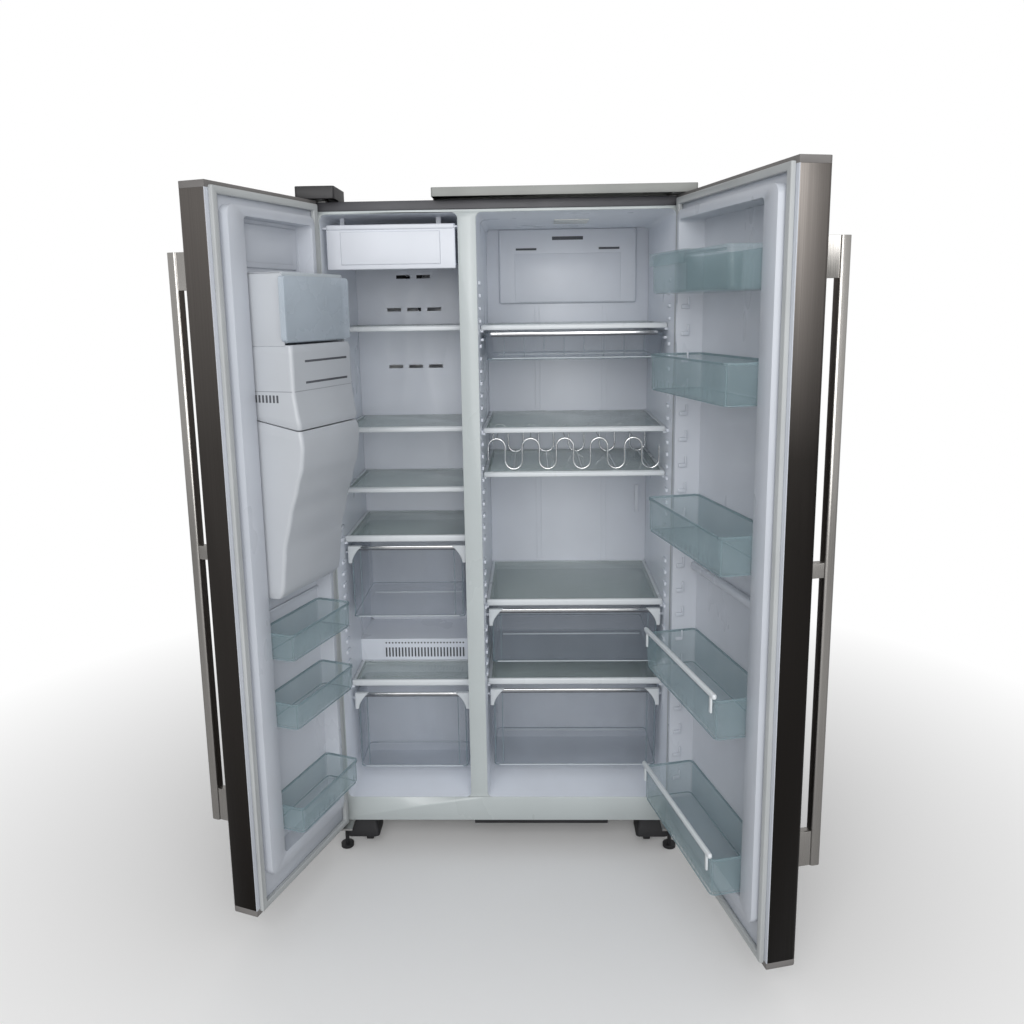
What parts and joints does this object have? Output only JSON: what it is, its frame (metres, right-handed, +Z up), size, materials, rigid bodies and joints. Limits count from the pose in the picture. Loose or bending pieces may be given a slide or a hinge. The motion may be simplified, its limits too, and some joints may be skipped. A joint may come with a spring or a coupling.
{
  "type": "side by side refrigerator",
  "caption": "Side by side refrigerator with both doors open: freezer with a door ice housing on the left, fridge with glass shelves, crispers and door bins on the right.",
  "frame": {"origin": "on the floor, at mid-width, in the plane of the cabinet's front frame", "axes": "+X to the right as seen from the front, +Y from front to back, +Z up"},
  "size_m": [1.3177, 1.1519, 1.72],
  "materials": {
    "steel_door": "satin",
    "grey_case": "satin",
    "white_frame": "satin",
    "white_liner": "gloss",
    "clear_plastic": "gloss",
    "shelf_glass": "gloss",
    "dark_plastic": "matte",
    "grey_plastic": "satin",
    "white_plastic": "satin",
    "gasket_rubber": "matte",
    "foot_rubber": "matte",
    "zinc_steel": "satin",
    "chrome": "polished",
    "handle_steel": "satin",
    "foam": "matte",
    "fin_aluminium": "satin",
    "black_paint": "satin",
    "lamp_lens": "gloss"
  },
  "bodies": {
    "cabinet": {"back_panel": "zinc_steel", "base_plate": "zinc_steel", "cabinet_foam": "foam", "compressor": "black_paint", "condenser": "fin_aluminium", "drain_pan": "dark_plastic", "evaporator": "fin_aluminium", "fan_motors": "black_paint", "freezer_liner": "white_liner", "fridge_air_duct": "white_plastic", "fridge_liner": "white_liner", "front_frame": "white_frame", "glass_panes": "shelf_glass", "hinge_plates": "zinc_steel", "hinge_screws": "zinc_steel", "ice_maker": "white_plastic", "lamp_covers": "lamp_lens", "outer_case": "grey_case", "rear_cover": "zinc_steel", "rear_panels": "white_plastic", "shelf_frames": "clear_plastic", "top_covers": "grey_plastic", "top_trim": "dark_plastic", "water_valve": "white_plastic", "wine_rack": "chrome"},
    "left_door": {"left_door_skin": "steel_door", "left_door_caps": "grey_plastic", "left_door_foam": "foam", "left_door_liner": "white_liner", "left_door_gasket": "gasket_rubber", "left_door_bins": "clear_plastic", "left_handle": "handle_steel", "ice_housing": "white_liner", "dispenser_recess": "dark_plastic", "dispenser_controls": "dark_plastic"},
    "right_door": {"right_door_skin": "steel_door", "right_door_caps": "grey_plastic", "right_door_foam": "foam", "right_door_liner": "white_liner", "right_door_gasket": "gasket_rubber", "right_door_bins": "clear_plastic", "right_handle": "handle_steel", "dairy_bin": "clear_plastic", "bin_bars": "chrome"},
    "ice_maker_cover": {"ice_maker_cover": "white_plastic"},
    "evaporator_fan": {"evaporator_fan": "dark_plastic"},
    "condenser_fan": {"condenser_fan": "dark_plastic"},
    "upper_freezer_drawer": {"upper_freezer_drawer": "clear_plastic"},
    "lower_freezer_drawer": {"lower_freezer_drawer": "clear_plastic"},
    "chiller_tray": {"chiller_tray": "clear_plastic"},
    "upper_crisper": {"upper_crisper": "clear_plastic"},
    "lower_crisper": {"lower_crisper": "clear_plastic"},
    "front_rollers": {"front_rollers": "dark_plastic"},
    "rear_rollers": {"rear_rollers": "dark_plastic"},
    "levelling_foot_left": {"levelling_foot_left": "foot_rubber"},
    "levelling_foot_right": {"levelling_foot_right": "foot_rubber"},
    "ice_bin": {"ice_bin": "clear_plastic"},
    "ice_auger": {"ice_auger": "zinc_steel"},
    "dispenser_paddle": {"dispenser_paddle": "dark_plastic"},
    "dairy_lid": {"dairy_lid": "clear_plastic"}
  },
  "joints": [
    {"name": "left_door_swing", "type": "hinge", "parent": "cabinet", "child": "left_door", "pos_m": [-0.444, -0.028, 0.89], "axis": [0, 0, -1], "range_deg": [-109.5, 5.5]},
    {"name": "right_door_swing", "type": "hinge", "parent": "cabinet", "child": "right_door", "pos_m": [0.444, -0.028, 0.89], "axis": [0, 0, 1], "range_deg": [-103.3, 11.7]},
    {"name": "ice_maker_cover_hinge", "type": "hinge", "parent": "cabinet", "child": "ice_maker_cover", "pos_m": [-0.258, 0.019, 1.63], "axis": [-1, 0, 0], "range_deg": [0, 70]},
    {"name": "evaporator_fan_spin", "type": "hinge", "parent": "cabinet", "child": "evaporator_fan", "pos_m": [-0.258, 0.43, 1.5], "axis": [0, 1, 0], "continuous": true},
    {"name": "condenser_fan_spin", "type": "hinge", "parent": "cabinet", "child": "condenser_fan", "pos_m": [-0.078, 0.4775, 0.175], "axis": [1, 0, 0], "continuous": true},
    {"name": "upper_freezer_drawer_slide", "type": "slide", "parent": "cabinet", "child": "upper_freezer_drawer", "axis": [0, -1, 0], "range_m": [0, 0.13]},
    {"name": "lower_freezer_drawer_slide", "type": "slide", "parent": "cabinet", "child": "lower_freezer_drawer", "axis": [0, -1, 0], "range_m": [0, 0.13]},
    {"name": "chiller_tray_slide", "type": "slide", "parent": "cabinet", "child": "chiller_tray", "axis": [0, -1, 0], "range_m": [0, 0.13]},
    {"name": "upper_crisper_slide", "type": "slide", "parent": "cabinet", "child": "upper_crisper", "axis": [0, -1, 0], "range_m": [0, 0.13]},
    {"name": "lower_crisper_slide", "type": "slide", "parent": "cabinet", "child": "lower_crisper", "axis": [0, -1, 0], "range_m": [0, 0.13]},
    {"name": "front_rollers_spin", "type": "hinge", "parent": "cabinet", "child": "front_rollers", "pos_m": [0, 0.05, 0.022], "axis": [1, 0, 0], "continuous": true},
    {"name": "rear_rollers_spin", "type": "hinge", "parent": "cabinet", "child": "rear_rollers", "pos_m": [0, 0.56, 0.02], "axis": [1, 0, 0], "continuous": true},
    {"name": "left_foot_screw", "type": "hinge", "parent": "cabinet", "child": "levelling_foot_left", "pos_m": [-0.436, 0.018, 0], "axis": [0, 0, 1], "continuous": true},
    {"name": "right_foot_screw", "type": "hinge", "parent": "cabinet", "child": "levelling_foot_right", "pos_m": [0.436, 0.018, 0], "axis": [0, 0, 1], "continuous": true},
    {"name": "ice_bin_slide", "type": "slide", "parent": "left_door", "child": "ice_bin", "axis": [0.9426, -0.3338, 0], "range_m": [0, 0.09]},
    {"name": "ice_auger_spin", "type": "hinge", "parent": "ice_bin", "child": "ice_auger", "pos_m": [-0.48166, -0.18228, 1.4023], "axis": [0.9426, -0.3338, 0], "continuous": true},
    {"name": "dispenser_paddle_push", "type": "hinge", "parent": "left_door", "child": "dispenser_paddle", "pos_m": [-0.52177, -0.1877, 1.26], "axis": [-0.3338, -0.9426, 0], "range_deg": [0, 3.5], "stiffness_Nm_per_rad": 0.3},
    {"name": "dairy_lid_hinge", "type": "hinge", "parent": "right_door", "child": "dairy_lid", "pos_m": [0.44775, -0.11343, 1.55], "axis": [-0.23, 0.9732, 0], "range_deg": [0, 60]}
  ]
}
